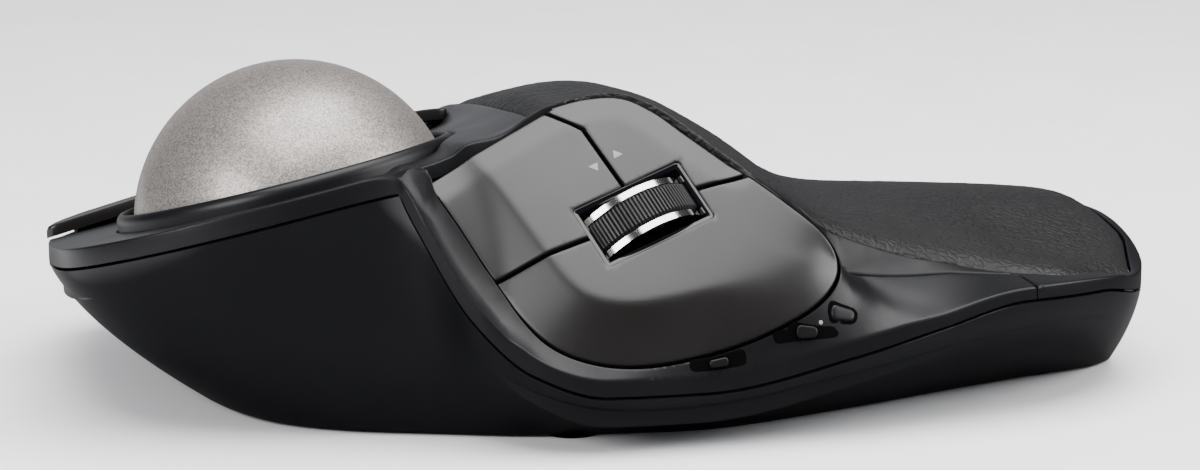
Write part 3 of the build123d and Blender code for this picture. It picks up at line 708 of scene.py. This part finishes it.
def pad_surface(uv, lift=0.0):
    """Palm pad: the skin with a soft crown and a tucked edge."""
    d, _ = loop_gap(uv, PAD_LOOP)
    tuck = 1.5 * np.clip(1 - d / 4.0, 0, 1) ** 2.2
    top = cover_surface(uv, 0.0)
    top[:, 2] += 1.0 - tuck + lift
    return top


PAD_LIMIT = grow(PANEL_HOLE, 1.1)
pad = moulding("leather_pad", [PAD_LOOP, PAD_LIMIT],
               lambda mid: inside(mid, PAD_LOOP) & ~inside(mid, PAD_LIMIT),
               pad_surface, spacing=1.1, edge=0.5, depth=2.2)
finish_piece(pad, "housing", FINISH["pad_leather"], "palm_pad")

pad.modifiers.new("finer", "SUBSURF").render_levels = 1
pores = bpy.data.textures.new("pores", "VORONOI")
pores.noise_scale = 0.0016
embossing = pad.modifiers.new("pores", "DISPLACE")
embossing.texture = pores
embossing.texture_coords = "GLOBAL"
embossing.strength = 0.12 * MM
embossing.mid_level = 0.5

# ---------------------------------------------------------------- ball and collar
COLLAR_PROFILE = [(26.6, -2.6), (28.0, -2.6), (28.0, 0.9), (27.9, 1.5), (27.6, 2.1), (27.2, 2.45),
                  (26.9, 2.5), (26.68, 2.3), (26.6, 1.9)]
collar = lathe("ball_ring", COLLAR_PROFILE, COLLAR_O, DECK_NORMAL, 220, 60)
finish_piece(collar, "housing", FINISH["satin_cover"], "ball_collar")


def build_ball():
    """Ball from a cube whose faces are pushed out to the sphere."""
    side = 64
    grid = np.tan(np.linspace(-math.pi / 4, math.pi / 4, side + 1))
    verts, faces = [], []
    for axis in range(3):
        for sign in (-1, 1):
            first = len(verts)
            for a in grid:
                for b in grid:
                    p = np.roll(np.array([sign, a, b], float), axis)
                    verts.append(BALL + p / np.linalg.norm(p) * BALL_R)
            for i in range(side):
                for j in range(side):
                    k = first + i * (side + 1) + j
                    faces.append((k, k + 1, k + side + 2, k + side + 1))
    return make_object("trackball", verts, faces)


finish_piece(build_ball(), "ball", FINISH["ball_finish"], "ball")

# ---------------------------------------------------------------- thumb keys
FRONT_TRIM = strip([(-1, -0.6), (9.9, 5.95), (20.6, 12.4)], 1.2)
KEY_STRIPS = [strip(line, 0.6) for line in SEAM_LINES] + [FRONT_TRIM]
slot_shape = rounded([(-9.7, -5.5, 0.7), (9.7, -5.5, 0.7), (9.7, 5.5, 0.7), (-9.7, 5.5, 0.7)])
tilt_axis = np.array(JOINTS["wheel_tilt"]["axis"])
roll_uv = unit([tilt_axis.dot(PANEL_X), tilt_axis.dot(PANEL_Y)])
side_uv = np.array([-roll_uv[1], roll_uv[0]])
hub_uv = np.array([(HUB - PANEL_O).dot(PANEL_X), (HUB - PANEL_O).dot(PANEL_Y)])
SLOT = hub_uv + slot_shape[:, :1] * roll_uv + slot_shape[:, 1:] * side_uv

for key, field in KEY_FIELDS.items():
    field = np.array(field, float)

    def on_key(mid, field=field):
        """Where this key is on the thumb panel."""
        mask = inside(mid, PANEL_RIM) & inside(mid, field) & ~inside(mid, SLOT)
        for gap in KEY_STRIPS:
            mask &= ~inside(mid, gap)
        return mask

    made = moulding(key + "_cap", [PANEL_RIM, SLOT, *KEY_STRIPS], on_key, on_panel, spacing=0.9, edge=0.3)
    finish_piece(made, key, FINISH["key_paint"], key)


def mark(name, u, v, loop, body):
    """Thin printed sign on the thumb panel."""
    made = moulding(name, [loop + [u, v]], lambda mid: inside(mid, loop + [u, v]),
                    lambda uv, lift=0.0: on_panel(uv, 0.03 + 0.2 * lift), spacing=0.4, edge=0.05, depth=0.4)
    return finish_piece(made, body, MARK)


ARROW = rounded([(-0.75, -0.75, 0.1), (0.75, 0.0, 0.1), (-0.75, 0.75, 0.1)])


def build_well():
    """Gloss black lining of the scroll wheel's opening."""
    ring = resample(SLOT, 0.5)
    rows = [(0.0, -0.35), (0.0, -1.2), (0.0, -7.0), (1.0, -7.0), (1.0, -1.2), (0.8, -0.6), (0.3, -0.35)]
    verts = [on_panel(grow(ring, -inset), lift) for inset, lift in rows]
    faces = []
    n = len(ring)
    for j in range(len(verts)):
        m = (j + 1) % len(verts)
        faces += [(j * n + i, j * n + (i + 1) % n, m * n + (i + 1) % n, m * n + i) for i in range(n)]
    return make_object("wheel_well", np.vstack(verts), faces)


mark("back_arrow", 26.3, 0.9, -ARROW, "back_key")
mark("forward_arrow", 30.5, 3.0, ARROW, "forward_key")
finish_piece(build_well(), "housing", FINISH["gloss_shell"])


def build_tyre():
    """Rubber tyre with fine cross ribs and rounded shoulders."""
    ribs, per_rib = 112, 8
    corners = np.array([[v.co[i] / MM for i in range(3)] for v in NODES["wheel_tyre"].data.vertices]) - HUB
    along_axle = corners @ AXLE
    radius = np.linalg.norm(corners - along_axle[:, None] * AXLE, axis=1)
    half, outer, inner = np.abs(along_axle).max(), radius.max(), radius.min()
    profile = [(inner, -half), (outer - 0.7, -half), (outer - 0.3, -half + 0.15), (outer, -half + 0.55),
               (outer, 0),
               (outer, half - 0.55), (outer - 0.3, half - 0.15), (outer - 0.7, half), (inner, half)]
    groove = [0, 0.2, 1, 1, 1, 1, 1, 0.2, 0]
    u = unit(np.cross(AXLE, [0.3, 0.2, 0.9]))
    v = np.cross(AXLE, u)
    count = ribs * per_rib
    depth = [0.0, 0.0, 0.0, 0.05, 0.28, 0.34, 0.28, 0.05]
    verts, faces = [], []
    k = len(profile)
    for i in range(count):
        angle = 2 * math.pi * i / count
        out = math.cos(angle) * u + math.sin(angle) * v
        verts += [HUB + out * (r - depth[i % per_rib] * g) + AXLE * h for (r, h), g in zip(profile, groove)]
        j = (i + 1) % count
        faces += [(i * k + m, i * k + (m + 1) % k, j * k + (m + 1) % k, j * k + m) for m in range(k)]
    return make_object("ribbed_tyre", verts, faces, 30)


finish_piece(build_tyre(), "wheel", FINISH["wheel_rubber"], "wheel_tyre")

# ---------------------------------------------------------------- wing keys
WING_RIMS = {
    "right_key": [(21, 89.4, 1.5), (33, 87.2, 2), (37, 20, 3), (21, 20, 2)],
    "fn1_key": [(33.8, 87.0, 1), (43, 80.5, 4), (51.5, 69, 6), (53.4, 62.8, 1), (35, 62.8, 0.6)],
    "fn2_key": [(35.2, 62.0, 0.6), (53.5, 62.0, 1), (56.2, 44, 1), (36.3, 44, 0.6)],
    "fn3_key": [(36.4, 43.2, 0.6), (56.3, 43.2, 1), (56.5, 24, 8), (52, 20, 4), (37.9, 20, 1)],
}


def wing_surface(uv, lift=0.0):
    """Top of the raised wing: a gentle plate that rolls over at its outer side."""
    x, y = uv[:, 0], uv[:, 1]
    z = 26.4 - 0.2 * (x - 21) - 0.2714 * (y - 87)
    roll = np.clip((x - 40) / 17, 0, 1) ** 2
    tail = np.clip((30 - y) / 10, 0, 1) ** 2
    return np.column_stack([x, y, z - 3.0 * roll - 1.6 * tail + lift])


WING_CORE = rounded([(21.6, 88.6, 1.5), (33, 86.4, 4), (43, 80, 8), (50, 68, 10), (54.5, 44, 10),
                     (54.5, 22, 4), (21.6, 22, 2)])


def core_surface(uv, lift=0.0):
    """Top of the block under the wing keys."""
    return wing_surface(uv, lift - 2.85)


GROOVE = rounded([(29.0, 23, 0.4), (32.4, 23, 0.4), (30.4, 84.6, 0.4), (27.0, 84.6, 0.4)])
core = moulding("wing_core", [WING_CORE, GROOVE], lambda mid: inside(mid, WING_CORE) & ~inside(mid, GROOVE),
                core_surface, spacing=1.6, edge=0.1, depth=3.2)
finish_piece(core, "housing", FINISH["inner_plastic"])
RIB = grow(resample(GROOVE, 0.8), -0.7)
rib = moulding("right_key_rib", [RIB], lambda mid: inside(mid, RIB),
               lambda uv, lift=0.0: wing_surface(uv, lift - 2.0), spacing=1.6, edge=0.05, depth=1.25)
finish_piece(rib, "right_key", FINISH["inner_plastic"])

for key, rim_points in WING_RIMS.items():
    loop = rounded(rim_points)
    made = moulding(key + "_cap", [loop], lambda mid, loop=loop: inside(mid, loop), wing_surface, spacing=1.3,
                    edge=0.5, depth=2.0)
    finish_piece(made, key, FINISH["key_paint"], key)


# ---------------------------------------------------------------- small controls on the left flank
def plaque(name, x, y, loop, low, high, edge=0.25):
    """Small rounded plate that follows the flank: long side to the rear, short side up the slope."""
    reach = np.array([[x, y], [x + 0.4, y], [x - 0.4, y], [x, y - 2], [x, y + 2]])
    p = cover_surface(reach)
    rear = unit(p[3] - p[4])
    normal = unit(np.cross(p[1] - p[2], rear))
    normal = normal if normal[2] > 0 else -normal
    up = unit(np.cross(normal, rear))
    up = up if up[2] > 0 else -up

    def surface(uv, lift=0.0):
        plan = np.array([x, y]) + uv[:, :1] * rear[:2] + uv[:, 1:2] * up[:2]
        height = np.reshape(high + lift + np.zeros(len(uv)), (-1, 1))
        return cover_surface(plan) + height * normal

    return moulding(name, [loop], lambda mid: inside(mid, loop), surface, spacing=0.5, edge=edge,
                    depth=high - low)


def oval(length, height):
    """Rounded bar outline."""
    a, b, r = length / 2, height / 2, min(length, height) / 2
    return rounded([(-a, -b, r), (a, -b, r), (a, b, r), (-a, b, r)])


def build_port():
    """Dark mouth of the charging port, set in the hull's front."""
    low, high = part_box("usb_socket")
    x, z = (low[0] + high[0]) / 2 / MM, (low[2] + high[2]) / 2 / MM

    def front_at(height):
        ring = hull_at(np.full(RIB_COUNT, height))
        front = ring[ring[:, 1] > 40]
        return front[np.argsort(front[:, 0])].T

    y = np.interp([x - 1, x, x + 1], *front_at(z))
    lean = np.interp(x, *front_at(z + 1)) - y[1]
    side = unit([2, y[2] - y[0], 0])
    rise = unit([0, lean, 1])
    out = unit(np.cross(side, rise))
    out = out if out[1] > 0 else -out

    def face(uv, lift=0.0):
        height = np.reshape(0.05 + lift + np.zeros(len(uv)), (-1, 1))
        return np.array([x, y[1], z]) + uv[:, :1] * side + uv[:, 1:2] * rise + height * out

    hole = oval(9.4, 3.6)
    return moulding("port_mouth", [hole], lambda mid: inside(mid, hole), face, spacing=0.6, edge=0.15,
                    depth=1.0)


finish_piece(build_port(), "housing", DARK)
# Places of the controls in plan.
PAIR_AT = (-55.9, -25.2)
LAMP_AT = (-56.7, -21.4)
DPI_AT = (-57.3, -18.8)
POWER_AT = (-57.9, -4.5)
finish_piece(plaque("pair_recess", *PAIR_AT, oval(5.4, 3.6), -0.6, 0.03), "housing", DARK)
finish_piece(plaque("pair_cap", *PAIR_AT, oval(4.0, 2.3), -0.4, 0.35, 0.35), "pair_button",
             FINISH["satin_cover"], "pair_button")
finish_piece(plaque("lamp", *LAMP_AT, oval(0.8, 0.8), -0.4, 0.10), "housing", LED, "light_pipe")
finish_piece(plaque("dpi_track", *DPI_AT, oval(11.0, 2.9), -0.6, 0.03), "housing", DARK)
finish_piece(plaque("dpi_knob", *DPI_AT, oval(3.4, 1.9), 0.35, 0.8, 0.2), "dpi_slider",
             FINISH["inner_plastic"], "dpi_slider")
finish_piece(plaque("power_track", *POWER_AT, oval(9.4, 2.4), -0.6, 0.03), "housing", DARK)
finish_piece(plaque("power_knob", *POWER_AT, oval(3.0, 1.3), 0.35, 0.8, 0.2), "power_slider",
             FINISH["inner_plastic"], "power_slider")


# ---------------------------------------------------------------- studio
def build_floor():
    """Wide pale floor under the object."""
    reach, cells = 3000, 30
    places = np.linspace(-reach, reach, cells + 1)
    row = cells + 1
    verts = [(x, y, FLOOR_Z) for x in places for y in places]
    faces = []
    for i in range(cells):
        for j in range(cells):
            k = i * row + j
            faces.append((k, k + row, k + row + 1, k + 1))
    return make_object("studio_floor", verts, faces)


def dim_in_reflections(finish):
    """Let glossy rays see a darker floor, brighter only beyond the object and in front of it."""
    tree = finish.node_tree
    place = tree.nodes.new("ShaderNodeNewGeometry")
    parts = tree.nodes.new("ShaderNodeSeparateXYZ")
    tree.links.new(place.outputs["Position"], parts.inputs["Vector"])
    total = tree.nodes.new("ShaderNodeMath")
    for term, (axis, start, stop, amount) in enumerate((("X", -0.27, -0.22, 0.06), ("Y", 0.11, 0.16, 0.6))):
        rise = tree.nodes.new("ShaderNodeMapRange")
        rise.inputs["From Min"].default_value = start
        rise.inputs["From Max"].default_value = stop
        rise.inputs["To Min"].default_value = 0.005
        rise.inputs["To Max"].default_value = amount
        tree.links.new(parts.outputs[axis], rise.inputs["Value"])
        tree.links.new(rise.outputs["Result"], total.inputs[term])
    rays = tree.nodes.new("ShaderNodeLightPath")
    dim = tree.nodes.new("ShaderNodeMix")
    dim.data_type = "RGBA"
    colour = tree.nodes["Principled BSDF"].inputs["Base Color"]
    tree.links.new(rays.outputs["Is Glossy Ray"], dim.inputs["Factor"])
    tree.links.new(colour.links[0].from_socket, dim.inputs["A"])
    tree.links.new(total.outputs["Value"], dim.inputs["B"])
    tree.links.new(dim.outputs["Result"], colour)


floor = build_floor()
floor_finish = material("studio_floor", (0.90, 0.90, 0.91), 0.6, shine=0.2, tint=0.01, bump=0.0)
dim_in_reflections(floor_finish)
floor.data.materials.append(floor_finish)


def softbox(name, place, target, width, height, power):
    """Area light aimed at a point."""
    data = bpy.data.lights.new(name, "AREA")
    data.shape = "RECTANGLE"
    data.size, data.size_y, data.energy = width, height, power
    lamp = bpy.data.objects.new(name, data)
    lamp.location = place
    lamp.rotation_euler = (Vector(target) - Vector(place)).to_track_quat("-Z", "Y").to_euler()
    bpy.context.scene.collection.objects.link(lamp)


softbox("top_box", (-0.1, -0.05, 0.75), (0, 0, 0), 0.9, 0.6, 15)
softbox("front_box", (-0.45, 0.75, 0.45), (-0.02, 0.05, 0.02), 0.5, 0.35, 7)
softbox("rear_box", (-0.35, -0.75, 0.5), (0, 0, 0.02), 0.6, 0.4, 8)


def build_world():
    """Soft room light: bright to the camera, dark to glossy rays except on the object's far side."""
    world = bpy.data.worlds.new("studio")
    world.use_nodes = True
    wires = world.node_tree
    backdrop = wires.nodes["Background"]
    backdrop.inputs["Color"].default_value = (0.94, 0.95, 1.0, 1)
    paths = wires.nodes.new("ShaderNodeLightPath")
    toward = wires.nodes.new("ShaderNodeTexCoord")
    split = wires.nodes.new("ShaderNodeSeparateXYZ")
    wires.links.new(toward.outputs["Generated"], split.inputs["Vector"])
    far_side = wires.nodes.new("ShaderNodeMapRange")
    far_side.inputs["From Min"].default_value = 0.80
    far_side.inputs["From Max"].default_value = 1.0
    far_side.inputs["To Min"].default_value = 0.04
    far_side.inputs["To Max"].default_value = 0.8
    wires.links.new(split.outputs["X"], far_side.inputs["Value"])
    level = wires.nodes.new("ShaderNodeMapRange")
    level.inputs["To Min"].default_value = 0.75
    wires.links.new(far_side.outputs["Result"], level.inputs["To Max"])
    wires.links.new(paths.outputs["Is Glossy Ray"], level.inputs["Value"])
    seen = wires.nodes.new("ShaderNodeMath")
    seen.operation = "MULTIPLY_ADD"
    seen.inputs[1].default_value = 1.3
    wires.links.new(paths.outputs["Is Camera Ray"], seen.inputs[0])
    wires.links.new(level.outputs["Result"], seen.inputs[2])
    wires.links.new(seen.outputs["Value"], backdrop.inputs["Strength"])
    return world


bpy.context.scene.world = build_world()

# ---------------------------------------------------------------- camera
CAMERA_PLACE = (-0.5135, 0.1363, 0.1367)
CAMERA_AIM = Vector((0.9448, -0.2532, -0.2079))
camera_data = bpy.data.cameras.new("camera")
camera_data.lens = 96.4
camera_data.sensor_width = 36
camera = bpy.data.objects.new("camera", camera_data)
camera.location = CAMERA_PLACE
camera.rotation_euler = CAMERA_AIM.to_track_quat("-Z", "Y").to_euler()
bpy.context.scene.collection.objects.link(camera)
bpy.context.scene.camera = camera
